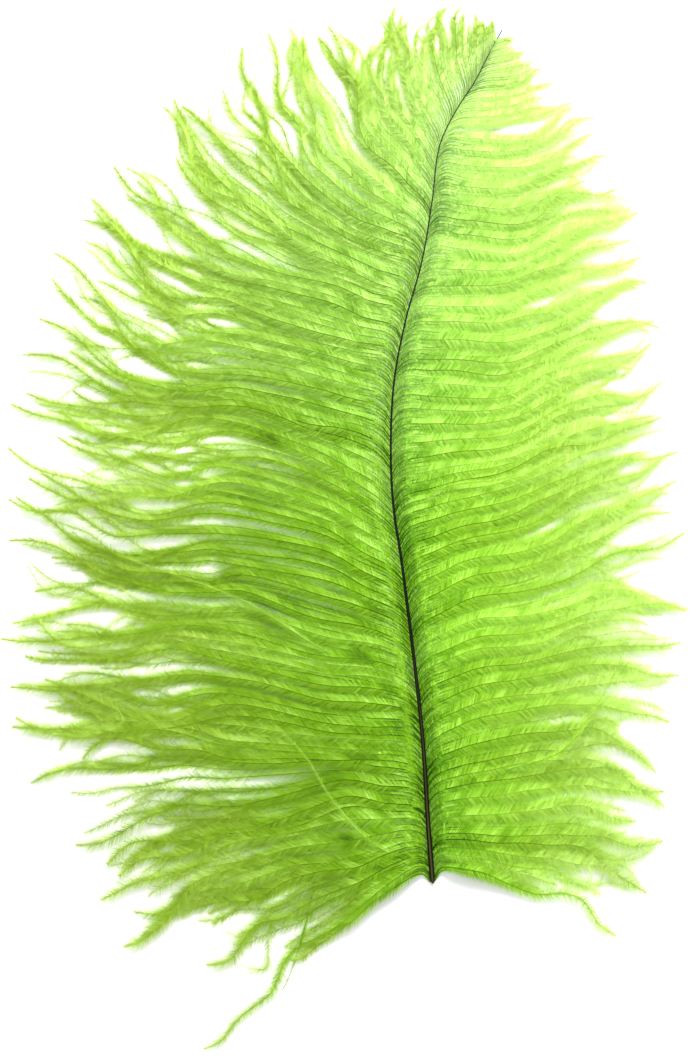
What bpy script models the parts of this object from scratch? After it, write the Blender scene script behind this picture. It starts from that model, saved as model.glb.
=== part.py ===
"""Ostrich feather, dyed lime green, lying flat with its tip towards +Y.

The cut shaft curves up the middle. A vane of long loose barbs grows on either side of it, and each
vane is one closed sheet whose outer edge is split into pointed locks. Seen from above, X and Y are
measured from the middle of the feather, and Z = 0 is the surface that it lies on.
Lengths are in millimetres until they are written to a mesh.
"""

from collections import namedtuple
import math

import bmesh
import bpy
from mathutils import Vector

MM = 0.001

# The shaft's centre line from the cut end to the tip, as (x, y).
SHAFT_LINE = [
    (30, -124),
    (28.5, -105),
    (26.5, -74),
    (23, -42),
    (19, -11),
    (16, 10),
    (15.3, 31),
    (16.5, 52),
    (20.5, 73),
    (26.3, 94),
    (29.8, 115),
    (33, 136),
    (38.5, 147),
    (45, 157),
    (50.3, 167.5),
    (54.3, 174.7),
]
SHAFT_BASE_RADIUS = 0.95
SHAFT_TIP_RADIUS = 0.2
SHAFT_TAPER = 2.1  # how early the shaft thins: 1 would be an even taper
SHAFT_ARCH = 4.2  # how far the middle of the shaft stands off the surface
SHAFT_POINTS = 72
CUT_LENGTH = 1.6  # the slanting stub where the shaft was cut
CUT_RADIUS = 0.35

# The locks at a vane's edge, from the shaft's tip to its cut end. Each is
# (how far up the shaft its barbs grow, its tip's x, its tip's y).
LEFT_LOCKS = [
    (300, 51, 178),
    (289, 48, 179),
    (281, 40, 182),
    (274, 34, 183),
    (268, 27, 181),
    (261, 19, 183),
    (254, 16, 177),
    (246, 7, 179),
    (239, -2, 176),
    (232, -17, 176),
    (228, -22, 169),
    (224, -35, 171),
    (220, -46, 163),
    (215, -51, 152),
    (209, -62, 149),
    (204, -66, 146),
    (199, -80, 128),
    (188, -88, 117),
    (180, -90, 102),
    (173, -102, 97),
    (166, -104, 86),
    (159, -107, 74),
    (151, -113, 62),
    (143, -111, 50),
    (135, -118, 39),
    (121, -101, 29),
    (109, -121, 24),
    (95, -117, 8),
    (83, -119, -6),
    (71, -121, -36),
    (60, -112, -43),
    (54, -117, -51),
    (46, -115, -61),
    (40, -117, -70),
    (35, -111, -85),
    (31, -98, -106),
    (26, -85, -110),
    (20, -87, -127),
    (13, -82, -142),
    (7, -49, -152),
    (3, -50, -183),
]
RIGHT_LOCKS = [
    (300, 58, 172),
    (294, 62, 167),
    (285, 67, 161),
    (275, 73, 154),
    (265, 79, 148),
    (254, 89, 140),
    (243, 89, 132),
    (232, 93, 122),
    (224, 102, 112),
    (211, 100, 103),
    (199, 103, 93),
    (190, 105, 84),
    (181, 108, 76),
    (170, 108, 68),
    (159, 108, 59),
    (147, 110, 50),
    (131, 109, 41),
    (119, 115, 30),
    (110, 110, 22),
    (102, 117, 14),
    (96, 113, 6),
    (90, 114, -3),
    (84, 121, -16),
    (79, 119, -24),
    (73, 118, -32),
    (66, 116, -41),
    (57, 116, -51),
    (47, 113, -66),
    (38, 110, -78),
    (29, 111, -89),
    (22, 111, -97),
    (15, 111, -109),
    (10, 106, -121),
    (5, 100, -135),
    (1, 93, -143),
]

# How the barbs bend in and out of a straight line, as (how far up the shaft they grow, bend at
# NEAR_BEND, bend at FAR_BEND). A bend is a share of a barb's length, towards the feather's tip.
NEAR_BEND = 0.38
FAR_BEND = 0.75
LEFT_BENDS = [
    (300, 0, 0),
    (280, -0.07, -0.04),
    (262, -0.08, -0.06),
    (240, -0.1, -0.09),
    (215, -0.09, -0.08),
    (194, -0.06, -0.09),
    (180, -0.04, -0.09),
    (160, -0.01, -0.06),
    (143, 0.06, 0),
    (133, 0.09, 0.03),
    (115, 0.05, 0),
    (90, 0.02, -0.05),
    (70, 0.05, 0.04),
    (48, 0, -0.02),
    (32, 0.05, 0.07),
    (20, 0.06, 0.06),
    (3, 0.05, 0.05),
]
RIGHT_BENDS = [
    (300, 0, 0),
    (265, -0.06, -0.03),
    (243, -0.12, -0.08),
    (227, -0.1, 0),
    (205, -0.05, 0.01),
    (165, -0.07, -0.01),
    (145, -0.03, 0),
    (105, 0.01, 0.01),
    (85, 0.05, 0.04),
    (62, 0.05, 0.07),
    (45, 0.09, 0.1),
    (28, 0.06, 0.06),
    (12, 0.04, 0.04),
    (1, 0.06, 0.06),
]
NOTCH_REACH = 0.86  # how far the vane reaches between two locks, as a share of a barb

# Next to the shaft the barbs run up along it, and then turn outwards.
LEFT_EXIT_LENGTH = 3
RIGHT_EXIT_LENGTH = 5
EXIT_SHARE = 0.15  # of a short barb's length
EXIT_ANGLE = math.radians(33)

Vane = namedtuple("Vane", ["side", "locks", "bends", "exit_length"])
LEFT_VANE = Vane(-1, LEFT_LOCKS, LEFT_BENDS, LEFT_EXIT_LENGTH)
RIGHT_VANE = Vane(1, RIGHT_LOCKS, RIGHT_BENDS, RIGHT_EXIT_LENGTH)

# From the shaft a vane rises to a crest, and then falls to the surface and lies on it.
SHAFT_GAP = 0.45
CREST_DISTANCE = 8
CREST_RISE = 4.5
CREST_SHARE = 0.2  # of a short barb's length, for the crest's distance
RISE_SHARE = 0.06  # and for its rise
LANDING = 0.58  # where a barb reaches the surface, as a share of its length
LEDGE = 0.15  # the level strip beside the shaft, as a share of the way to the crest
RISING_ROWS = 2  # rows of faces from the ledge to the crest
FALLING_ROWS = 8  # and from the crest to the edge
ROOT_DROP = 0.9  # how far the vane's underside is below the shaft's centre line
VANE_THICKNESS = 2.4
EDGE_THINNING = 0.4  # the thickness at the locks' tips, as a share of the full one
FULL_BARB = 70  # shorter barbs make a thinner vane

BLACK_GREEN = (0.006, 0.012, 0.002)
LIME = (0.28, 0.6, 0.02)
LIGHT_LIME = (0.36, 0.7, 0.05)


def eased(share):
    """0 to 1 with a level start and end."""
    share = min(max(share, 0.0), 1.0)
    return share * share * (3 - 2 * share)


def span_lengths(points):
    return [(b - a).length for a, b in zip(points, points[1:])]


def smooth_point(points, distance):
    """The point on a smooth curve through the points, at this distance along their chords."""
    spans = span_lengths(points)
    span = 0
    while span < len(spans) - 1 and distance > spans[span]:
        distance -= spans[span]
        span += 1

    def slope(i):
        if i == 0:
            return (points[1] - points[0]) / spans[0]
        if i == len(spans):
            return (points[-1] - points[-2]) / spans[-1]
        before = (points[i] - points[i - 1]) / spans[i - 1]
        after = (points[i + 1] - points[i]) / spans[i]
        return (before * spans[i] + after * spans[i - 1]) / (spans[i - 1] + spans[i])

    h = spans[span]
    t = distance / h
    return (
        points[span] * (2 * t**3 - 3 * t**2 + 1)
        + slope(span) * h * (t**3 - 2 * t**2 + t)
        + points[span + 1] * (3 * t**2 - 2 * t**3)
        + slope(span + 1) * h * (t**3 - t**2)
    )


SHAFT_KNOTS = [Vector(point) for point in SHAFT_LINE]
SHAFT_LENGTH = sum(span_lengths(SHAFT_KNOTS))


def shaft_point(station):
    """The shaft's centre line, seen from above, at this distance from the cut end."""
    return smooth_point(SHAFT_KNOTS, station)


def shaft_direction(station):
    ahead = min(station + 1, SHAFT_LENGTH)
    return (shaft_point(ahead) - shaft_point(max(ahead - 2, 0))).normalized()


def shaft_radius(station):
    left = 1 - station / SHAFT_LENGTH
    return SHAFT_TIP_RADIUS + (SHAFT_BASE_RADIUS - SHAFT_TIP_RADIUS) * left**SHAFT_TAPER


def shaft_height(station):
    """The height of the shaft's centre line, which arches from end to end."""
    return shaft_radius(station) + SHAFT_ARCH * math.sin(math.pi * station / SHAFT_LENGTH)


def row_at(rows, station):
    """The values at this station, between those of the nearest two rows."""
    for (high, *above), (low, *below) in zip(rows, rows[1:]):
        if station >= low:
            share = (station - low) / (high - low)
            return [b + (a - b) * share for a, b in zip(above, below)]
    raise ValueError(f"no row at {station}")


def barb_knots(vane, station):
    """Five points on a barb seen from above: its root, where it turns outwards, two bends and its tip."""
    tip = Vector(row_at(vane.locks, station))
    bends = row_at(vane.bends, station)
    along = shaft_direction(station)
    outwards = Vector((along.y, -along.x)) * vane.side
    root = shaft_point(station) + outwards * (shaft_radius(station) + SHAFT_GAP)
    exit_length = min(vane.exit_length, EXIT_SHARE * (tip - root).length)
    turn = root + exit_length * (along * math.cos(EXIT_ANGLE) + outwards * math.sin(EXIT_ANGLE))
    chord = tip - turn
    upwards = Vector((-chord.y, chord.x)) * vane.side
    near = turn + chord * NEAR_BEND + upwards * bends[0]
    far = turn + chord * FAR_BEND + upwards * bends[1]
    return [root, turn, near, far, tip]


def crest_share(barb_length):
    """Where a barb is highest, as a share of its length."""
    return min(CREST_DISTANCE / barb_length, CREST_SHARE)


def vane_height(station, barb_length, share):
    """The height of a vane's underside, this share of the way along a barb."""
    root = max(shaft_height(station) - ROOT_DROP, 0)
    crest = crest_share(barb_length)
    top = root + min(CREST_RISE, RISE_SHARE * barb_length)
    if share < crest:
        return root + (top - root) * eased((share / crest - LEDGE) / (1 - LEDGE))
    return top * (1 - eased((share - crest) / (LANDING - crest)))


def row_share(row, barb_length, reach):
    """How far along a barb a row of the vane's points is: root, ledge, crest and then the edge."""
    crest = crest_share(barb_length)
    if row == 0:
        return 0
    if row <= RISING_ROWS + 1:
        return crest * (LEDGE + (1 - LEDGE) * (row - 1) / RISING_ROWS)
    return crest + (reach - crest) * (row - RISING_ROWS - 1) / FALLING_ROWS


def vane_point(vane, column, row):
    """A point of a vane's underside, and how full the vane is there, from 1 at the shaft to 0."""
    station, reach = column
    knots = barb_knots(vane, station)
    length = sum(span_lengths(knots))
    share = row_share(row, length, reach)
    flat = smooth_point(knots, length * share)
    fullness = (1 - share) * min(length / FULL_BARB, 1)
    return Vector((flat.x, flat.y, vane_height(station, length, share))), fullness


def material(name, colour, roughness):
    made = bpy.data.materials.new(name)
    made.use_nodes = True
    shader = made.node_tree.nodes["Principled BSDF"]
    shader.inputs["Base Color"].default_value = (*colour, 1)
    shader.inputs["Roughness"].default_value = roughness
    shader.inputs["Metallic"].default_value = 0
    made.diffuse_color = (*colour, 1)
    return made


def make_shaft(collection, finish):
    """A thin tapering rod, round in section, with a short slanting stub at its cut end."""
    data = bpy.data.curves.new("shaft", "CURVE")
    data.dimensions = "3D"
    data.bevel_depth = MM
    data.bevel_resolution = 3
    data.use_fill_caps = True
    line = data.splines.new("POLY")
    rest = SHAFT_LENGTH - CUT_LENGTH
    stations = [0] + [CUT_LENGTH + rest * i / SHAFT_POINTS for i in range(SHAFT_POINTS + 1)]
    line.points.add(len(stations) - 1)
    for point, station in zip(line.points, stations):
        flat = shaft_point(station)
        point.co = (flat.x * MM, flat.y * MM, shaft_height(station) * MM, 1)
        point.radius = shaft_radius(station) if station else CUT_RADIUS
    data.materials.append(finish)
    collection.objects.link(bpy.data.objects.new("shaft", data))


def vane_columns(locks):
    """The stations of a vane's columns, and how far each reaches: one for a lock, one for a notch."""
    columns = [(locks[0][0], 1)]
    for (high, *_), (low, *_) in zip(locks, locks[1:]):
        columns += [((high + low) / 2, NOTCH_REACH), (low, 1)]
    return columns


def make_vane(name, vane, collection, finish):
    """A sheet of barbs from the shaft to the tips of its locks, thinner towards the tips."""
    columns = vane_columns(vane.locks)
    widths = len(columns) - 1
    rows = 1 + RISING_ROWS + FALLING_ROWS
    mesh = bpy.data.meshes.new(name)
    sheet = bmesh.new()
    bmesh.ops.create_grid(sheet, x_segments=widths, y_segments=rows, size=0.5)
    weights = sheet.verts.layers.deform.verify()
    for vertex in sheet.verts:
        column = columns[round((vertex.co.x + 0.5) * widths)]
        row = round((vertex.co.y + 0.5) * rows)
        point, fullness = vane_point(vane, column, row)
        vertex[weights][0] = fullness
        vertex.co = point * MM
    bmesh.ops.recalc_face_normals(sheet, faces=sheet.faces)
    if sum(face.normal.z for face in sheet.faces) < 0:
        bmesh.ops.reverse_faces(sheet, faces=sheet.faces)
    sheet.to_mesh(mesh)
    sheet.free()
    mesh.shade_smooth()
    mesh.set_sharp_from_angle(angle=math.radians(40))
    mesh.materials.append(finish)
    piece = bpy.data.objects.new(name, mesh)
    piece.vertex_groups.new(name="thickness")
    thick = piece.modifiers.new("thickness", "SOLIDIFY")
    thick.thickness = VANE_THICKNESS * MM
    thick.offset = 1
    thick.vertex_group = "thickness"
    thick.thickness_vertex_group = EDGE_THINNING
    collection.objects.link(piece)


def build():
    for existing in list(bpy.data.objects):
        bpy.data.objects.remove(existing)
    collection = bpy.data.collections.new("ostrich_feather")
    bpy.context.scene.collection.children.link(collection)
    make_shaft(collection, material("shaft_horn", BLACK_GREEN, 0.3))
    left = material("left_barbs", LIME, 0.6)
    right = material("right_barbs", LIGHT_LIME, 0.6)
    make_vane("left_vane", LEFT_VANE, collection, left)
    make_vane("right_vane", RIGHT_VANE, collection, right)


build()
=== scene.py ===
"""The looks of an ostrich plume dyed lime green: its shaft, hundreds of barbs and their barbules.

The barbs follow the CAD model's vanes. Lengths are in millimetres until a mesh is written.
"""

from collections import namedtuple

import bpy
import numpy as np
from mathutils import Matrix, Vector


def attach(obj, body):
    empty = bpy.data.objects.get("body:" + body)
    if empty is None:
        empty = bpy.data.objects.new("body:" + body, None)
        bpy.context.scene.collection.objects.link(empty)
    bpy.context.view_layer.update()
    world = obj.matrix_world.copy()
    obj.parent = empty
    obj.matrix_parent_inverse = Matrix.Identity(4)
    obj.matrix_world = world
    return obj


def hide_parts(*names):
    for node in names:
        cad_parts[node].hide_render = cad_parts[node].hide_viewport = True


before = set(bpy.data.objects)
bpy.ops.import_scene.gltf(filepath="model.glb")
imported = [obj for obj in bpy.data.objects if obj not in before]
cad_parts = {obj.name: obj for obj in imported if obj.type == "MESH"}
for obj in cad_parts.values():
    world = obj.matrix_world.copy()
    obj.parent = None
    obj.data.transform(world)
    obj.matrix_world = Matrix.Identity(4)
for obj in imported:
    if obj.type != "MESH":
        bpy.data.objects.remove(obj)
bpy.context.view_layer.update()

MM = 0.001  # in metres

# The shaft's centre line from the cut end to the tip, as (x, y).
SHAFT_LINE = [
    (30, -124),
    (28.5, -105),
    (26.5, -74),
    (23, -42),
    (19, -11),
    (16, 10),
    (15.3, 31),
    (16.5, 52),
    (20.5, 73),
    (26.3, 94),
    (29.8, 115),
    (33, 136),
    (38.5, 147),
    (45, 157),
    (50.3, 167.5),
    (54.3, 174.7),
]
SHAFT_BASE_RADIUS = 0.95
SHAFT_TIP_RADIUS = 0.2
SHAFT_TAPER = 2.1
SHAFT_ARCH = 4.2

# The locks at a vane's edge, from the shaft's tip to its cut end. Each is
# (how far up the shaft its barbs grow, its tip's x, its tip's y).
LEFT_LOCKS = [
    (300, 51, 178),
    (289, 48, 179),
    (281, 40, 182),
    (274, 34, 183),
    (268, 27, 181),
    (261, 19, 183),
    (254, 16, 177),
    (246, 7, 179),
    (239, -2, 176),
    (232, -17, 176),
    (228, -22, 169),
    (224, -35, 171),
    (220, -46, 163),
    (215, -51, 152),
    (209, -62, 149),
    (204, -66, 146),
    (199, -80, 128),
    (188, -88, 117),
    (180, -90, 102),
    (173, -102, 97),
    (166, -104, 86),
    (159, -107, 74),
    (151, -113, 62),
    (143, -111, 50),
    (135, -118, 39),
    (121, -101, 29),
    (109, -121, 24),
    (95, -117, 8),
    (83, -119, -6),
    (71, -121, -36),
    (60, -112, -43),
    (54, -117, -51),
    (46, -115, -61),
    (40, -117, -70),
    (35, -111, -85),
    (31, -98, -106),
    (26, -85, -110),
    (20, -87, -127),
    (13, -82, -142),
    (7, -49, -152),
    (3, -50, -183),
]
RIGHT_LOCKS = [
    (300, 58, 172),
    (294, 62, 167),
    (285, 67, 161),
    (275, 73, 154),
    (265, 79, 148),
    (254, 89, 140),
    (243, 89, 132),
    (232, 93, 122),
    (224, 102, 112),
    (211, 100, 103),
    (199, 103, 93),
    (190, 105, 84),
    (181, 108, 76),
    (170, 108, 68),
    (159, 108, 59),
    (147, 110, 50),
    (131, 109, 41),
    (119, 115, 30),
    (110, 110, 22),
    (102, 117, 14),
    (96, 113, 6),
    (90, 114, -3),
    (84, 121, -16),
    (79, 119, -24),
    (73, 118, -32),
    (66, 116, -41),
    (57, 116, -51),
    (47, 113, -66),
    (38, 110, -78),
    (29, 111, -89),
    (22, 111, -97),
    (15, 111, -109),
    (10, 106, -121),
    (5, 100, -135),
    (1, 93, -143),
]

# How the barbs bend in and out of a straight line, as (how far up the shaft they grow, bend at
# NEAR_BEND, bend at FAR_BEND). A bend is a share of a barb's length, towards the feather's tip.
NEAR_BEND = 0.38
FAR_BEND = 0.75
LEFT_BENDS = [
    (300, 0, 0),
    (280, -0.07, -0.04),
    (262, -0.08, -0.06),
    (240, -0.1, -0.09),
    (215, -0.09, -0.08),
    (194, -0.06, -0.09),
    (180, -0.04, -0.09),
    (160, -0.01, -0.06),
    (143, 0.06, 0),
    (133, 0.09, 0.03),
    (115, 0.05, 0),
    (90, 0.02, -0.05),
    (70, 0.05, 0.04),
    (48, 0, -0.02),
    (32, 0.05, 0.07),
    (20, 0.06, 0.06),
    (3, 0.05, 0.05),
]
RIGHT_BENDS = [
    (300, 0, 0),
    (265, -0.06, -0.03),
    (243, -0.12, -0.08),
    (227, -0.1, 0),
    (205, -0.05, 0.01),
    (165, -0.07, -0.01),
    (145, -0.03, 0),
    (105, 0.01, 0.01),
    (85, 0.05, 0.04),
    (62, 0.05, 0.07),
    (45, 0.09, 0.1),
    (28, 0.06, 0.06),
    (12, 0.04, 0.04),
    (1, 0.06, 0.06),
]

# Where a vane has parted and the surface shows: (x, y, length, width).
LEFT_OPENINGS = [
    (-48, -15, 12, 5),
    (-84, -33, 30, 8),
    (-62, -46, 22, 4),
    (-55, -74, 26, 5),
    (-72, 8, 20, 4),
    (20, 152, 26, 2),
]
RIGHT_OPENINGS = [
    (60, 140, 26, 4),
]

# Barbs that have strayed across the others, as (x, y, height) from root to tip, and how light
# each of them is: 0 is like the other barbs.
STRAYS = [
    [(28, -120, 1), (6, -107, 8), (-6, -93, 9.5), (-16, -77, 9.5), (-27, -67, 7)],
    [(14, -52, 5), (-8, -42, 8), (-36, -25, 8), (-51, -19, 6), (-69, -13, 4), (-83, -8, 2.5)],
    [(-11, -122, 1.5), (-15, -140, 1.5), (-18, -150, 1.2), (-20, -156, 1), (-23, -162, 0.8)],
    [(20, 0, 6), (31, 13, 10), (56, 18, 9), (69, 23, 8), (75, 31, 6.5), (79, 46, 4)],
    [(56, -84, 5), (75, -77, 8), (85, -65, 6), (92, -53, 4), (98, -40, 2.5)],
]
STRAY_TONES = [0.9, 0.9, -1.3, 0.6, 0.6]

# Painted shade in the hollows between lifted barbs: (x, y, direction in degrees, length, width,
# darkness).
SHADED_HOLLOWS = [
    (-27, 31.5, -27, 7, 1.7, 1),
    (-31, 11, -17, 11, 3, 0.6),
    (-39, -17, -20, 5, 2, 0.6),
    (-28, -31, -20, 6, 2, 0.6),
    (5, -44, -15, 6, 2.2, 0.8),
    (1, -108, -20, 4, 1.5, 0.6),
    (-27, -128, -25, 5, 2, 0.6),
]

# How a vane's barbs leave the shaft: at a steep angle for EXIT_SHARE of their reach at most, then
# outwards. At EARLY_SHARE of the way they are EARLY_RISE of their length above an even bend.
EXIT_SHARE = 0.15
EXIT_ANGLE = np.radians(33)
EARLY_SHARE = 0.12
EARLY_RISE = 0.012

# How high they lie: they rise from under the shaft's middle to a crest beside it, and come down to
# the surface at LANDING, a share of their length. The shares limit the crests of short barbs.
CREST_DISTANCE = 8
CREST_RISE = 4.5
CREST_SHARE = 0.2
RISE_SHARE = 0.06
LANDING = 0.58
ROOT_DROP = 0.6
LAYER_HEIGHT = 0.5  # of the middle layer of barbs above the CAD model's

BARB_SPACING = 1.1
CROWDING = 1.25  # how much closer the barbs are at the shaft's ends: 1 would be evenly spaced
FIRST_STATION = 0.8  # how far up the shaft the lowest barb grows
BARE_TIP = 5  # stretch of the shaft without barbs
GROUP_SIZES = (2, 8)  # from the first up to the second, without it
LEADER_REACHES = (0.84, 0.98)  # of the way to the edge, where no lock pulls them all the way
FOLLOWER_REACHES = (0.8, 0.99)  # of the way that their leader reaches
LOCK_ROOM = 5  # stretch of the shaft where only one barb reaches the lowest lock
LONE_STATION = 3
CUT_SHORT = 0.62  # how far the others there reach
WILD_SHARE = 0.3  # of the barbs stray from their group
SETTLED_SHARE = 0.6  # of them stay close to their own path near the shaft
FULL_WANDER_LENGTH = 80  # barbs shorter than this wander less
BARB_SAMPLES = 61

# The barbs' ribs, and the barbules down both sides of them.
RIB_ROOT_RADIUS = 0.19
RIB_TIP_RADIUS = 0.015
FOLLOWER_RIB = 0.8  # how thick the ribs under a leader are next to its own
LEADER_SPACING = 0.085  # between the barbules of the barbs on top
FOLLOWER_SPACING = 0.19  # and of those under them
LEADER_LENGTH = 3.6
FOLLOWER_LENGTH = 3.3
BARBULE_WIDTH = 0.2
BARBULE_DROP = 0.06  # of their roots below the middle of the rib
CLEARANCE = 0.05  # between the lowest barbules and the surface
TUFT_LENGTH = 0.48
ROOT_SPREAD = 40  # the barbules' angle to their barb, in degrees, where it leaves the shaft
MAP_NAME = "OFBake"

# A vane: its side of the shaft (-1 is the left), its locks, bends and openings, the parts of the
# shaft where more barbs grow as (from, to, how many more), how far the barbs run up the shaft, how
# much the locks cling together at their tips, how far along a barb its barbules stay long, how long
# they are at its tip, their angle to it, how uneven they lie, and how much of the paleness of the
# feather's upper part is left at the vane's edge.
Vane = namedtuple(
    "Vane",
    "side locks bends openings thick_parts exit_length clinging"
    " full_until tip_fluff spread relief edge_paleness",
)
LEFT_VANE = Vane(
    side=-1,
    locks=LEFT_LOCKS,
    bends=LEFT_BENDS,
    openings=LEFT_OPENINGS,
    thick_parts=[(1, 22, 16), (22, 80, 30), (180, 245, 22)],
    exit_length=3,
    clinging=0.9,
    full_until=0.55,
    tip_fluff=0.8,
    spread=46,
    relief=1,
    edge_paleness=0.35,
)
RIGHT_VANE = Vane(
    side=1,
    locks=RIGHT_LOCKS,
    bends=RIGHT_BENDS,
    openings=RIGHT_OPENINGS,
    thick_parts=[(1, 15, 6)],
    exit_length=4,
    clinging=0.3,
    full_until=0.7,
    tip_fluff=0.6,
    spread=58,
    relief=0.55,
    edge_paleness=0.8,
)
STRAY_LOOK = LEFT_VANE._replace(full_until=0.1, tip_fluff=0.3, spread=30, edge_paleness=1)

# The dye's colours as (how far along a barb, colour), on the barbules and on the barbs' own stems.
# In the barbules' colours, the paler ends towards the tips are partly painted light coming through
# the thin barbs. The right vane's lighter colours are partly painted light falling from that side,
# and its dark green beside the shaft is painted shade.
LEFT_STOPS = [
    (0.0, (0.29, 0.67, 0.008)),
    (0.4, (0.34, 0.65, 0.01)),
    (0.8, (0.37, 0.61, 0.025)),
    (1.0, (0.42, 0.62, 0.045)),
]
RIGHT_STOPS = [
    (0.0, (0.14, 0.49, 0.003)),
    (0.35, (0.37, 0.73, 0.02)),
    (0.75, (0.5, 0.79, 0.08)),
    (1.0, (0.6, 0.83, 0.18)),
]
LEFT_STEM_STOPS = [
    (0.0, (0.02, 0.1, 0.001)),
    (0.3, (0.04, 0.16, 0.002)),
    (0.6, (0.1, 0.28, 0.01)),
    (1.0, (0.13, 0.28, 0.02)),
]
RIGHT_STEM_STOPS = [
    (0.0, (0.02, 0.1, 0.001)),
    (0.3, (0.08, 0.24, 0.005)),
    (0.6, (0.2, 0.46, 0.02)),
    (1.0, (0.35, 0.6, 0.08)),
]
# The pale colour is partly the dye and partly painted light.
PALE_YELLOW = (0.74, 0.88, 0.4)  # what the upper part of the feather fades to
BARBULE_GLOW = 0.42  # share of the light that comes through them
STRAY_GLOW = 0.35
STEM_GLOW = 0.1
HORN_STOPS = [
    (0.0, (0.002, 0.003, 0.001)),
    (0.7, (0.002, 0.004, 0.001)),
    (0.95, (0.015, 0.05, 0.001)),
]
HORN_BROWN_AND_SHEEN = (0.11, 0.075, 0.012)

# The camera looks straight down. These and the light are in metres.
CAMERA_HEIGHT = 1.5
VIEW_HEIGHT = 0.3714
VIEW_MIDDLE = (0.00105, -0.0005)
SENSOR_MM = 36
LIGHT_PLACE = (0.2, 0.6, 0.62)
LIGHT_SIZE = 0.35
LIGHT_POWER = 10
FLOOR_SIZE = 4


def eased(share):
    share = np.clip(share, 0, 1)
    return share * share * (3 - 2 * share)


def rise(values, start, end):
    """0 up to the start, 1 from the end on, and an easy slope between them."""
    return eased((values - start) / (end - start))


def curve_points(knots, shares):
    """Points on smooth curves through the knots of each curve, at these shares of their chords."""
    steps = np.diff(knots, axis=1)
    spans = np.linalg.norm(steps, axis=2)
    rates = steps / spans[..., None]
    slopes = np.empty_like(knots)
    slopes[:, 0] = rates[:, 0]
    slopes[:, -1] = rates[:, -1]
    before, after = spans[:, :-1, None], spans[:, 1:, None]
    slopes[:, 1:-1] = (rates[:, :-1] * after + rates[:, 1:] * before) / (before + after)
    ends = np.cumsum(spans, axis=1)
    along = shares * ends[:, -1:]
    span = (along[..., None] > ends[:, None, :-1]).sum(-1)
    row = np.arange(len(knots))[:, None]
    h = spans[row, span]
    t = ((along - ends[row, span]) / h + 1)[..., None]
    h = h[..., None]
    return (
        knots[row, span] * (2 * t**3 - 3 * t**2 + 1)
        + slopes[row, span] * h * (t**3 - 2 * t**2 + t)
        + knots[row, span + 1] * (3 * t**2 - 2 * t**3)
        + slopes[row, span + 1] * h * (t**3 - t**2)
    )


SHAFT_KNOTS = np.array([SHAFT_LINE], float)
SHAFT_LENGTH = np.linalg.norm(np.diff(SHAFT_KNOTS, axis=1), axis=2).sum()


def shaft_points(stations):
    return curve_points(SHAFT_KNOTS, stations[None] / SHAFT_LENGTH)[0]


def shaft_directions(stations):
    ahead = np.minimum(stations + 1, SHAFT_LENGTH)
    steps = shaft_points(ahead) - shaft_points(np.maximum(ahead - 2, 0))
    return steps / np.linalg.norm(steps, axis=1, keepdims=True)


def shaft_radii(stations):
    left = 1 - stations / SHAFT_LENGTH
    return SHAFT_TIP_RADIUS + (SHAFT_BASE_RADIUS - SHAFT_TIP_RADIUS) * left**SHAFT_TAPER


def shaft_heights(stations):
    return shaft_radii(stations) + SHAFT_ARCH * np.sin(np.pi * stations / SHAFT_LENGTH)


def rows_at(rows, stations):
    """The values of a table at these stations, each between those of the nearest two rows."""
    table = np.array(rows[::-1], float)
    columns = range(1, table.shape[1])
    return np.stack([np.interp(stations, table[:, 0], table[:, i]) for i in columns], 1)


def barb_knots(vane, stations):
    """The root, turn, three bends and tip of the barbs that grow at these stations."""
    tips = rows_at(vane.locks, stations)
    bends = rows_at(vane.bends, stations)
    along = shaft_directions(stations)
    outwards = np.stack([along[:, 1], -along[:, 0]], 1) * vane.side
    roots = shaft_points(stations) + outwards * shaft_radii(stations)[:, None] * 0.7
    reach = np.linalg.norm(tips - roots, axis=1, keepdims=True)
    exits = np.minimum(vane.exit_length, EXIT_SHARE * reach)
    turns = roots + exits * (along * np.cos(EXIT_ANGLE) + outwards * np.sin(EXIT_ANGLE))
    chords = tips - turns
    upwards = np.stack([-chords[:, 1], chords[:, 0]], 1) * vane.side
    early = turns + chords * EARLY_SHARE + upwards * (bends[:, :1] / 2 + EARLY_RISE)
    near = turns + chords * NEAR_BEND + upwards * bends[:, :1]
    far = turns + chords * FAR_BEND + upwards * bends[:, 1:]
    return np.stack([roots, turns, early, near, far, tips], 1)


def vane_heights(stations, lengths, shares):
    """How high the CAD model's vanes are, these shares of the way along their barbs."""
    root = np.maximum(shaft_heights(stations) - ROOT_DROP, 0.3)[:, None]
    crest = np.minimum(CREST_DISTANCE / lengths, CREST_SHARE)
    top = root + np.minimum(CREST_RISE, RISE_SHARE * lengths)
    rising = root + (top - root) * rise(shares, 0, crest)
    falling = top * (1 - rise(shares, crest, LANDING))
    return np.where(shares < crest, rising, falling)


def wavy(rng, rows, columns, step):
    """Smooth random rows between -1 and 1, with a new value every so many columns."""
    count = int(columns / step) + 3
    values = rng.uniform(-1, 1, (rows, count))
    place = np.arange(columns) / step
    low = place.astype(int)
    share = eased(place - low)
    return values[:, low] * (1 - share) + values[:, low + 1] * share


def wavy_sheet(rng, rows, columns, row_step, column_step):
    """Wavy rows that also change smoothly from row to row."""
    coarse = wavy(rng, int(rows / row_step) + 3, columns, column_step)
    place = np.arange(rows) / row_step
    low = place.astype(int)
    share = eased(place - low)[:, None]
    return coarse[low] * (1 - share) + coarse[low + 1] * share


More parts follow.
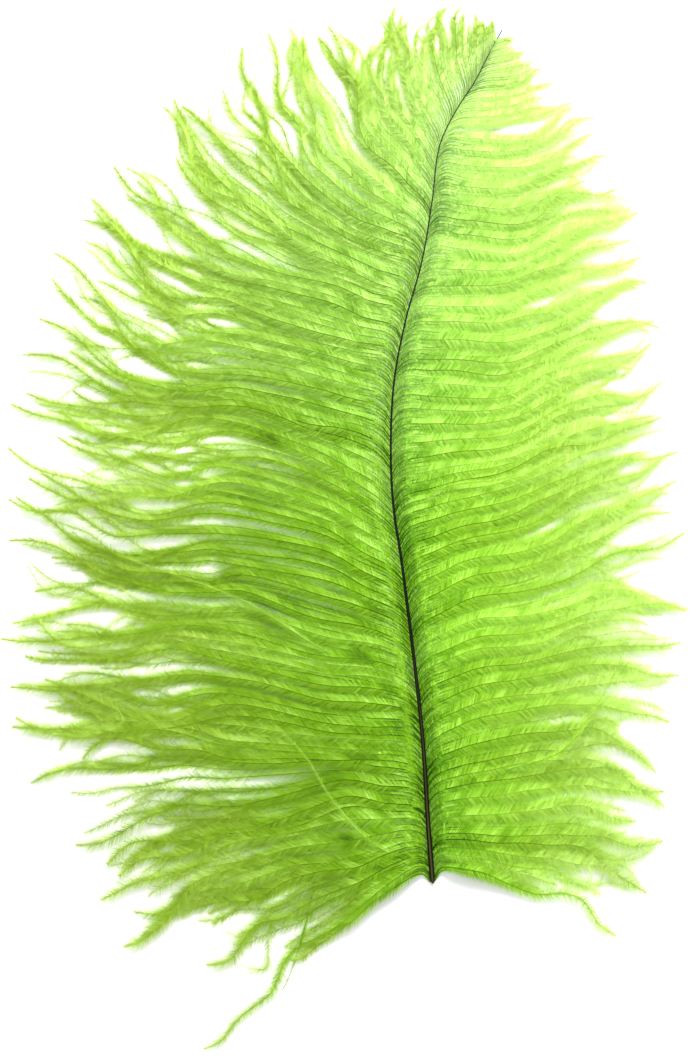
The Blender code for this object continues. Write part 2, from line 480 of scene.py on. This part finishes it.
def part_barbs(points, group, openings):
    """Pushes whole groups of barbs aside round the places where the vane has parted."""
    for x, y, length, width in openings:
        away = points - (x, y)
        barb, sample = np.unravel_index((away**2).sum(-1).argmin(), away.shape[:2])
        sample = min(max(sample, 1), points.shape[1] - 2)
        axis = points[barb, sample + 1] - points[barb, sample - 1]
        axis = axis / np.linalg.norm(axis)
        across = np.array([-axis[1], axis[0]])
        u = away @ axis
        w = away @ across
        nearest = w[np.arange(len(w)), np.abs(u).argmin(1)]
        middle = np.bincount(group, nearest) / np.bincount(group)
        direction = np.where(middle[group] < 0, -1, 1)[:, None]
        push = width / 2 * np.exp(-((2 * u / length) ** 2) - np.abs(w) / (1.5 * width))
        points = points + (direction * push)[..., None] * across
    return points


def sow(vane, rng):
    """How far up the shaft each of a vane's barbs grows, from the cut end to the tip."""
    span = SHAFT_LENGTH - BARE_TIP
    even = np.linspace(0, 1, int(span / BARB_SPACING))
    crowded = (even**CROWDING + 1 - (1 - even) ** CROWDING) / 2
    stations = FIRST_STATION + span * crowded + rng.uniform(-0.25, 0.25, len(even))
    for low, high, extra in vane.thick_parts:
        stations = np.concatenate([stations, rng.uniform(low, high, extra)])
    return np.sort(stations).clip(0.6, SHAFT_LENGTH - 4)


def grouped(rng, count):
    """Each barb's group, and each group's leader, which is the barb in its middle."""
    starts = np.cumsum(rng.integers(*GROUP_SIZES, count))
    group = np.searchsorted(starts, np.arange(count), side="right")
    groups = range(group.max() + 1)
    leader = np.array([int(np.median(np.flatnonzero(group == i))) for i in groups])
    return group, leader


def reach_locks(vane, rng, stations, group, leader, leads):
    """What share of its full length each barb has, and where the lock of each group grows."""
    lock_stations = np.array(vane.locks, float)[:, 0]
    gaps = np.abs(stations[leader][:, None] - lock_stations)
    lock = gaps.argmin(1)
    reach = rng.uniform(*LEADER_REACHES, len(leader))
    # The group that grows nearest to a lock reaches its tip.
    for i in range(len(lock_stations)):
        members = np.flatnonzero(lock == i)
        if len(members):
            reach[members[gaps[members, i].argmin()]] = 1
    reach = reach[group] * np.where(leads, 1, rng.uniform(*FOLLOWER_REACHES, len(group)))
    short = stations < LOCK_ROOM
    short[np.where(leads, np.abs(stations - LONE_STATION), np.inf).argmin()] = False
    reach[short] *= CUT_SHORT
    return reach, lock_stations[lock]


def groom(vane, seed):
    """One vane's barbs: their paths as (barbs, samples, xyz), stations, tones and which lead."""
    rng = np.random.default_rng(seed)
    stations = sow(vane, rng)
    count = len(stations)
    group, leader = grouped(rng, count)
    groups = len(leader)
    place = np.arange(count) - leader[group]
    leads = place == 0
    reach, lock_stations = reach_locks(vane, rng, stations, group, leader, leads)
    shares = np.linspace(0, 1, BARB_SAMPLES)[None] * reach[:, None]
    own = curve_points(barb_knots(vane, stations), shares)
    led = curve_points(barb_knots(vane, stations[leader][group]), shares)
    lock = curve_points(barb_knots(vane, lock_stations[group]), shares)
    lengths = np.linalg.norm(np.diff(own, axis=1), axis=2).sum(1)[:, None]
    distance = shares * lengths
    small = np.minimum(lengths / FULL_WANDER_LENGTH, 1)

    # The leaders bend to their lock, and the others gather under their leader.
    wild = rng.uniform(0, 1, (count, 1)) < np.where(leads, 0, WILD_SHARE)[:, None]
    held = np.where(wild, 0, rng.uniform(0.2, 0.8, (count, 1)))
    held *= 1 - 0.7 * rise(stations[:, None], 225, 265)
    gathered = 0.15 * rise(distance, 5, 14) + held * rise(shares, 0.6, 1)
    clung = vane.clinging * rng.uniform(0.45, 1, groups)[group][:, None]
    led = led + (lock - led) * (rise(shares, 0.62, 1) * clung)[..., None]
    gathered = np.where(leads[:, None], 1, gathered)
    flat = own + (led - own) * gathered[..., None]

    # Groups wander together, and each barb a little on its own.
    steps = np.gradient(flat, axis=1)
    steps /= np.linalg.norm(steps, axis=2, keepdims=True)
    across = np.stack([-steps[..., 1], steps[..., 0]], -1)
    wander = (wavy_sheet(rng, groups, BARB_SAMPLES, 4, 14) * 3.2)[group]
    apart = 0.7 + 1.8 * rise(shares, 0.35, 0.65)
    wander += wavy_sheet(rng, groups, BARB_SAMPLES, 1.4, 8)[group] * apart
    wander *= vane.relief
    loose = np.where(wild, 12, 4.2) * vane.relief * rise(shares, 0.35, 0.85)
    wander += wavy(rng, count, BARB_SAMPLES, 11) * (0.3 + loose)
    wander *= rise(distance, 6, 31)
    settled = ~leads[:, None] & (rng.uniform(0, 1, (count, 1)) < SETTLED_SHARE)
    wander *= np.where(settled, 0.3 + 0.7 * rise(shares, 0.35, 0.65), 1)
    curl = rng.normal(0, 5, groups)[group][:, None] * rise(shares, 0.66, 1.16)
    curl += (wavy(rng, groups, BARB_SAMPLES, 9) * 3)[group] * rise(shares, 0.55, 1)
    flat = flat + across * ((wander + curl) * small)[..., None]
    flat = part_barbs(flat, group, vane.openings)

    # The leaders lie on top, and the barbs furthest from them lowest.
    lift = (wavy(rng, groups, BARB_SAMPLES, 11) * 1.2 * vane.relief + 0.8)[group]
    sunk = np.where(leads, 0, 0.8 + 0.25 * np.abs(place))[:, None]
    sunk = sunk + rng.uniform(0, 0.3, (count, 1))
    height = vane_heights(stations, lengths, shares) + LAYER_HEIGHT
    height += (lift - sunk + 0.7) * rise(distance, 7, 20) * small
    height += rng.uniform(0, 1.6, groups)[group][:, None] * rise(shares, 0.4, 0.8)
    height = np.maximum(height, 0.25 + 0.15 * leads[:, None])
    paths = np.concatenate([flat, height[..., None]], 2)
    tones = 0.6 * rng.uniform(-1, 1, groups)[group] + 0.4 * rng.uniform(-1, 1, count)
    return paths, stations, tones, leads


def frames_of(paths):
    """Unit steps along the paths, and level ones across them."""
    along = np.gradient(paths, axis=1)
    along /= np.linalg.norm(along, axis=2, keepdims=True)
    across = np.stack([-along[..., 1], along[..., 0], np.zeros(along.shape[:2])], -1)
    across /= np.linalg.norm(across, axis=2, keepdims=True)
    return along, across


def new_mesh(name, points, corners, sides, places, shade, finish, node):
    """A piece from its points, the corners of its faces, their places on the map and its shade."""
    mesh = bpy.data.meshes.new(name)
    faces = len(corners) // sides
    mesh.vertices.add(len(points))
    mesh.vertices.foreach_set("co", (points * MM).astype(np.float32).ravel())
    mesh.loops.add(len(corners))
    mesh.loops.foreach_set("vertex_index", corners.astype(np.int32))
    mesh.polygons.add(faces)
    mesh.polygons.foreach_set("loop_start", np.arange(0, len(corners), sides, dtype=np.int32))
    mesh.update(calc_edges=True)
    uv = mesh.uv_layers.new(name=MAP_NAME)
    uv.data.foreach_set("uv", places[corners].astype(np.float32).ravel())
    tone = mesh.attributes.new("shade", "FLOAT", "POINT")
    tone.data.foreach_set("value", shade.astype(np.float32))
    mesh.materials.append(finish)
    piece = bpy.data.objects.new(name, mesh)
    bpy.context.scene.collection.objects.link(piece)
    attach(piece, "root")
    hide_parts(node)


def add_ribs(name, barbs, finish, node):
    """Each barb's own thin stem, a three-sided tube."""
    paths, stations, tones, leads = barbs
    paths = paths[:, ::2]
    count, samples = paths.shape[:2]
    along, across = frames_of(paths)
    share = np.linspace(0, 1, samples)
    radius = RIB_ROOT_RADIUS + (RIB_TIP_RADIUS - RIB_ROOT_RADIUS) * share**0.9
    radius = radius[None] * np.where(leads, 1, FOLLOWER_RIB)[:, None]
    up = np.cross(along, across)
    rings = []
    for turn in np.radians((90, 210, 330)):
        outwards = np.sin(turn) * up + np.cos(turn) * across
        rings.append(paths + outwards * radius[..., None])
    points = np.stack(rings, 2)
    index = np.arange(count * samples * 3).reshape(count, samples, 3)
    quads = []
    for i in range(3):
        j = (i + 1) % 3
        a, b = index[:, :-1, i], index[:, 1:, i]
        c, d = index[:, 1:, j], index[:, :-1, j]
        quads.append(np.stack([a, d, c, b], -1))
    corners = np.stack(quads, 2).reshape(-1)
    u = (stations / SHAFT_LENGTH)[:, None, None] + np.array([-1, 0, 1])[None, None] * 0.001
    v = np.broadcast_to(share[None, :, None], points.shape[:3])
    places = np.stack([np.broadcast_to(u, v.shape), v], -1).reshape(-1, 2)
    shade = np.broadcast_to(tones[:, None, None], v.shape).reshape(-1)
    new_mesh(name, points.reshape(-1, 3), corners, 4, places, shade, finish, node)


def barbule_sizes(vane, leads, stations, share, distance):
    """How long the barbules are, before they differ one by one."""
    size = np.where(leads, LEADER_LENGTH, FOLLOWER_LENGTH) * (0.3 + 0.7 * rise(distance, 3, 17))
    size = size * (1 - (1 - vane.tip_fluff) * rise(share, vane.full_until, 1))
    size = size * (1 - 0.6 * rise(share, 0.94, 1))
    size = size * (1.4 - 0.4 * rise(stations, 0, 90) - 0.4 * rise(stations, 225, 285))
    return size * np.where(stations < LOCK_ROOM, 0.7, 1)


def painted_hollow_shade(points):
    """How much darker these points are painted, for the shade in the hollows that they lie in."""
    depth = np.zeros(len(points))
    for x, y, turn, length, width, darkness in SHADED_HOLLOWS:
        ahead = np.array([np.cos(np.radians(turn)), np.sin(np.radians(turn))])
        away = points - (x, y)
        u = away @ ahead / length
        w = away @ np.array([-ahead[1], ahead[0]]) / width
        depth += darkness * np.exp(-(u**2) - w**2)
    return depth


def add_barbules(name, vane, barbs, finish, node, seed):
    """Fine pointed barbules down both sides of each barb, in small tufts."""
    rng = np.random.default_rng(seed)
    paths, stations, tones, leads = barbs
    count, samples = paths.shape[:2]
    along, across = frames_of(paths)
    reach = np.linalg.norm(np.diff(paths, axis=1), axis=2).sum(1)
    spacing = np.where(leads, LEADER_SPACING, FOLLOWER_SPACING)
    each = 2 * (reach / spacing).astype(int)
    barb = np.repeat(np.arange(count), each)
    order = np.arange(len(barb)) - np.repeat(np.cumsum(each) - each, each)
    side = np.where(order % 2, -1, 1)
    share = (order + 0.5) / each[barb]
    low = np.minimum((share * (samples - 1)).astype(int), samples - 2)
    part = (share * (samples - 1) - low)[:, None]

    def between(rows):
        return rows[barb, low] * (1 - part) + rows[barb, low + 1] * part

    root, step, level = between(paths), between(along), between(across)
    distance = share * reach[barb]
    ruffled = rise(share, 0.4, 0.8)

    # Tufts, whose barbules point at one spot and share a tone.
    phase = rng.uniform(0, 1, (count, 2))[barb, (side + 1) // 2]
    tuft = (distance / TUFT_LENGTH + phase).astype(int)
    tuft_id = (barb * 2 + (side + 1) // 2) * (tuft.max() + 1) + tuft
    tuft_noise = rng.uniform(-1, 1, (tuft_id.max() + 1, 4))[tuft_id]
    own_noise = rng.uniform(-1, 1, (len(barb), 3))
    angle = ROOT_SPREAD + (vane.spread - ROOT_SPREAD) * rise(distance, 0, 7)
    angle = angle - 10 * rise(distance, 10, 45)
    angle = angle + (6 + 3 * ruffled) * tuft_noise[:, 0] + (5 + 16 * ruffled) * own_noise[:, 0]
    angle = np.radians(angle)
    size = barbule_sizes(vane, leads[barb], stations[barb], share, distance)
    size = size * (1 + (0.14 + 0.3 * ruffled) * own_noise[:, 1] + 0.14 * tuft_noise[:, 3])

    # Barbules towards the feather's tip lie over the next barbs, and the others hang down.
    upper = side * vane.side > 0
    droop = -0.15 + 0.09 * vane.relief * np.where(upper, 1, -1)
    droop = droop + 0.1 * vane.relief * tuft_noise[:, 1] + 0.05 * own_noise[:, 2]
    droop = droop - 0.25 * (1 - rise(distance, 0, 9))
    tip = root + size[:, None] * (
        step * np.cos(angle)[:, None]
        + level * (side * np.sin(angle))[:, None]
        + np.array([0, 0, 1]) * droop[:, None]
    )
    centre = (tuft + 0.5 - phase) * TUFT_LENGTH
    drawn = 0.7 * vane.relief * (1 - ruffled)
    tip = tip + step * (drawn * (centre - distance))[:, None]
    wide = BARBULE_WIDTH * (2.2 - 1.2 * rise(distance, 0, 10) - 0.1 * ruffled)
    half = step * (wide / 2 * side)[:, None]
    base = root - np.array([0, 0, BARBULE_DROP])
    points = np.stack([base - half, base + half, tip], 1)
    points[..., 2] = np.maximum(points[..., 2], CLEARANCE)

    # Each tuft has its own tone, and the upper side gets painted glints, painted highlights, here
    # and there.
    tone = tones[barb] * 0.3 + vane.relief * tuft_noise[:, 2] * 0.35 + own_noise[:, 1] * 0.5
    # Painted shade where the barbules lie in the hollows between lifted barbs.
    tone = tone - painted_hollow_shade(root[:, :2])
    glints = between(wavy(rng, count, samples, 2.5)[..., None])[:, 0]
    glinting = vane.relief * (1 - 0.5 * rise(distance, 0, 50)) * rise(distance, 4, 10)
    tone = tone + glinting * glints * upper
    shade = np.stack([tone - 0.1, tone - 0.1, tone + 0.15], 1).reshape(-1)
    u = stations[barb] / SHAFT_LENGTH
    aside = 0.45 * BARB_SPACING / SHAFT_LENGTH * side
    tall = 1 / each[barb]
    places = [(u, share - tall), (u, share + tall), (u + aside, share)]
    places = np.stack([np.stack(place, 1) for place in places], 1).reshape(-1, 2)
    corners = np.arange(len(barb) * 3)
    new_mesh(name, points.reshape(-1, 3), corners, 3, places, shade, finish, node)


def new_finish(name):
    finish = bpy.data.materials.new(name)
    finish.use_nodes = True
    finish.node_tree.nodes.clear()
    return finish, finish.node_tree


def add_node(tree, kind, inputs, **values):
    """A node with these values, and with its inputs set or linked."""
    node = tree.nodes.new(kind)
    for key, value in values.items():
        setattr(node, key, value)
    for key, value in inputs.items():
        if isinstance(value, bpy.types.NodeSocket):
            tree.links.new(value, node.inputs[key])
        else:
            node.inputs[key].default_value = value
    return node


def calculated(tree, operation, *values):
    inputs = dict(enumerate(values))
    return add_node(tree, "ShaderNodeMath", inputs, operation=operation).outputs[0]


def mapped(tree, value, start, end, low=0, high=1):
    limits = {"From Min": start, "From Max": end, "To Min": low, "To Max": high}
    return add_node(tree, "ShaderNodeMapRange", {"Value": value, **limits}).outputs[0]


def ramp(tree, factor, stops):
    node = add_node(tree, "ShaderNodeValToRGB", {0: factor})
    ramp_stops = node.color_ramp.elements
    while len(ramp_stops) < len(stops):
        ramp_stops.new(0.5)
    for stop, (place, colour) in zip(ramp_stops, stops):
        stop.position = place
        stop.color = (*colour, 1)
    return node.outputs[0]


def mixed(tree, factor, first, second):
    inputs = {"Factor": factor, "A": first, "B": (*second, 1)}
    return add_node(tree, "ShaderNodeMix", inputs, data_type="RGBA").outputs["Result"]


def noise(tree, vector, scale, detail):
    inputs = {"Vector": vector, "Scale": scale, "Detail": detail}
    return add_node(tree, "ShaderNodeTexNoise", inputs).outputs["Fac"]


def plume_finish(name, stops, edge_paleness, glow):
    """Dyed barbs: the colour follows the way along the barb, and each tuft differs a little. They
    are lighter and paler towards the feather's tip, partly the dye and partly painted light, and
    the painted shade and glints in their tones darken or lighten them.
    """
    finish, tree = new_finish(name)
    place = add_node(tree, "ShaderNodeUVMap", {}, uv_map=MAP_NAME).outputs[0]
    split = add_node(tree, "ShaderNodeSeparateXYZ", {0: place})
    up_shaft, along_barb = split.outputs["X"], split.outputs["Y"]
    body = add_node(tree, "ShaderNodeTexCoord", {}).outputs["Object"]
    tone = add_node(tree, "ShaderNodeAttribute", {}, attribute_name="shade").outputs["Fac"]
    patches = calculated(tree, "MULTIPLY_ADD", noise(tree, body, 45, 3), 0.25, along_barb)
    colour = ramp(tree, calculated(tree, "MULTIPLY_ADD", tone, 0.3, patches), stops)
    # Lighter, and paler, towards the feather's tip where the lamp is: partly the dye and partly
    # painted light.
    strength = mapped(tree, up_shaft, 0.05, 0.75, 0.94, 1.04)
    gain = calculated(tree, "MULTIPLY_ADD", tone, 0.4, strength)
    height = mapped(tree, up_shaft, 0.35, 0.95, 0, 0.48)
    edge = mapped(tree, along_barb, 0.4, 0.9, 1, edge_paleness)
    paleness = calculated(tree, "MULTIPLY", height, edge)
    # Lighter tones, the painted glints among them, are paler too.
    paleness = calculated(tree, "MULTIPLY_ADD", tone, 0.24, paleness)
    pale = mixed(tree, paleness, colour, PALE_YELLOW)
    toned = add_node(tree, "ShaderNodeVectorMath", {0: pale, "Scale": gain}, operation="SCALE")
    look = {"Base Color": toned.outputs[0], "Roughness": 0.5, "Specular IOR Level": 0.15}
    shader = add_node(tree, "ShaderNodeBsdfPrincipled", look)
    through = add_node(tree, "ShaderNodeBsdfTranslucent", {"Color": toned.outputs[0]})
    shaders = {0: glow, 1: shader.outputs[0], 2: through.outputs[0]}
    mix = add_node(tree, "ShaderNodeMixShader", shaders)
    add_node(tree, "ShaderNodeOutputMaterial", {"Surface": mix.outputs[0]})
    return finish


def shaft_finish():
    """Dark glossy horn, green at the thin end and olive brown along the top near the cut, the brown
    partly bare horn and partly a painted highlight.
    """
    finish, tree = new_finish("shaft_horn")
    body = add_node(tree, "ShaderNodeTexCoord", {}).outputs["Object"]
    split = add_node(tree, "ShaderNodeSeparateXYZ", {0: body})
    up_shaft = mapped(tree, split.outputs["Y"], -0.124, 0.175)
    colour = ramp(tree, up_shaft, HORN_STOPS)
    stretch = add_node(tree, "ShaderNodeMapping", {"Vector": body, "Scale": (1, 0.08, 1)})
    streaks = noise(tree, stretch.outputs[0], 700, 4)
    normal = add_node(tree, "ShaderNodeNewGeometry", {}).outputs["Normal"]
    facing = add_node(tree, "ShaderNodeSeparateXYZ", {0: normal})
    # The brown goes on the upward-facing top, partly as a painted highlight.
    top = mapped(tree, facing.outputs["Z"], 0.82, 0.97)
    near_cut = mapped(tree, up_shaft, 0.3, 0)
    top_brown_and_sheen = calculated(tree, "MULTIPLY", top, near_cut)
    brown = mixed(tree, calculated(tree, "MULTIPLY", top_brown_and_sheen, streaks), colour, HORN_BROWN_AND_SHEEN)
    relief = {"Height": streaks, "Strength": 0.2, "Distance": 0.0002}
    bump = add_node(tree, "ShaderNodeBump", relief)
    look = {"Base Color": brown, "Roughness": 0.45, "Specular IOR Level": 0.2}
    shader = add_node(tree, "ShaderNodeBsdfPrincipled", {**look, "Normal": bump.outputs[0]})
    add_node(tree, "ShaderNodeOutputMaterial", {"Surface": shader.outputs[0]})
    return finish


def add_vane(side_name, vane, stops, stem_stops, seed, stretches):
    """One vane: its barbs' stems in one piece, and their barbules in a piece for each stretch."""
    node = f"{side_name}_vane"
    fluff = plume_finish(f"{side_name}_barbules", stops, vane.edge_paleness, BARBULE_GLOW)
    stem = plume_finish(f"{side_name}_stems", stem_stops, vane.edge_paleness, STEM_GLOW)
    barbs = groom(vane, seed)
    add_ribs(f"{side_name}_barb_stems", barbs, stem, node)
    bounds = np.linspace(0, len(barbs[0]), len(stretches) + 1).astype(int)
    for i, (stretch, low, high) in enumerate(zip(stretches, bounds, bounds[1:])):
        some = [values[low:high] for values in barbs]
        name = f"{side_name}_barbules_{stretch}"
        add_barbules(name, vane, some, fluff, node, seed + 10 + i)


def add_strays():
    """The few barbs that lie across the others."""
    count = len(STRAYS)
    shares = np.linspace(0, 1, BARB_SAMPLES)[None]
    paths = [curve_points(np.array([stray], float), shares)[0] for stray in STRAYS]
    stations = SHAFT_LENGTH * (0.3 + 0.05 * np.arange(count) / count)
    barbs = (np.array(paths), stations, np.array(STRAY_TONES), np.full(count, False))
    paleness = STRAY_LOOK.edge_paleness
    fluff = plume_finish("stray_barbules", LEFT_STOPS, paleness, STRAY_GLOW)
    stem = plume_finish("stray_stems", LEFT_STEM_STOPS, paleness, STEM_GLOW)
    add_ribs("stray_stems", barbs, stem, "left_vane")
    add_barbules("stray_barbules", STRAY_LOOK, barbs, fluff, "left_vane", 5)


def add_floor():
    bpy.ops.mesh.primitive_plane_add(size=FLOOR_SIZE)
    floor = bpy.context.object
    floor.name = "floor"
    finish, tree = new_finish("floor_white")
    look = {"Base Color": (0.9, 0.9, 0.9, 1), "Roughness": 0.9}
    shader = add_node(tree, "ShaderNodeBsdfPrincipled", look)
    add_node(tree, "ShaderNodeOutputMaterial", {"Surface": shader.outputs[0]})
    floor.data.materials.append(finish)


def add_studio():
    """White light from all round, and a soft lamp beyond the feather's tip."""
    world = bpy.data.worlds.new("studio")
    bpy.context.scene.world = world
    world.use_nodes = True
    sky = world.node_tree.nodes["Background"]
    sky.inputs["Color"].default_value = (1, 1, 1, 1)
    sky.inputs["Strength"].default_value = 1.0
    lamp = bpy.data.lights.new("key", "AREA")
    lamp.size = LIGHT_SIZE
    lamp.energy = LIGHT_POWER
    light = bpy.data.objects.new("key", lamp)
    light.location = LIGHT_PLACE
    light.rotation_euler = (-Vector(LIGHT_PLACE)).to_track_quat("-Z", "Y").to_euler()
    bpy.context.scene.collection.objects.link(light)
    bpy.context.scene.view_settings.view_transform = "Standard"


def add_camera():
    data = bpy.data.cameras.new("camera")
    data.lens = SENSOR_MM * CAMERA_HEIGHT / VIEW_HEIGHT
    data.clip_start = 0.01
    camera = bpy.data.objects.new("camera", data)
    camera.location = (*VIEW_MIDDLE, CAMERA_HEIGHT)
    bpy.context.scene.collection.objects.link(camera)
    bpy.context.scene.camera = camera


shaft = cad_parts["shaft"]
shaft.data.materials.clear()
shaft.data.materials.append(shaft_finish())
add_vane("left", LEFT_VANE, LEFT_STOPS, LEFT_STEM_STOPS, 11, ("low", "middle", "high"))
add_vane("right", RIGHT_VANE, RIGHT_STOPS, RIGHT_STEM_STOPS, 12, ("low", "high"))
add_strays()
add_floor()
add_studio()
add_camera()
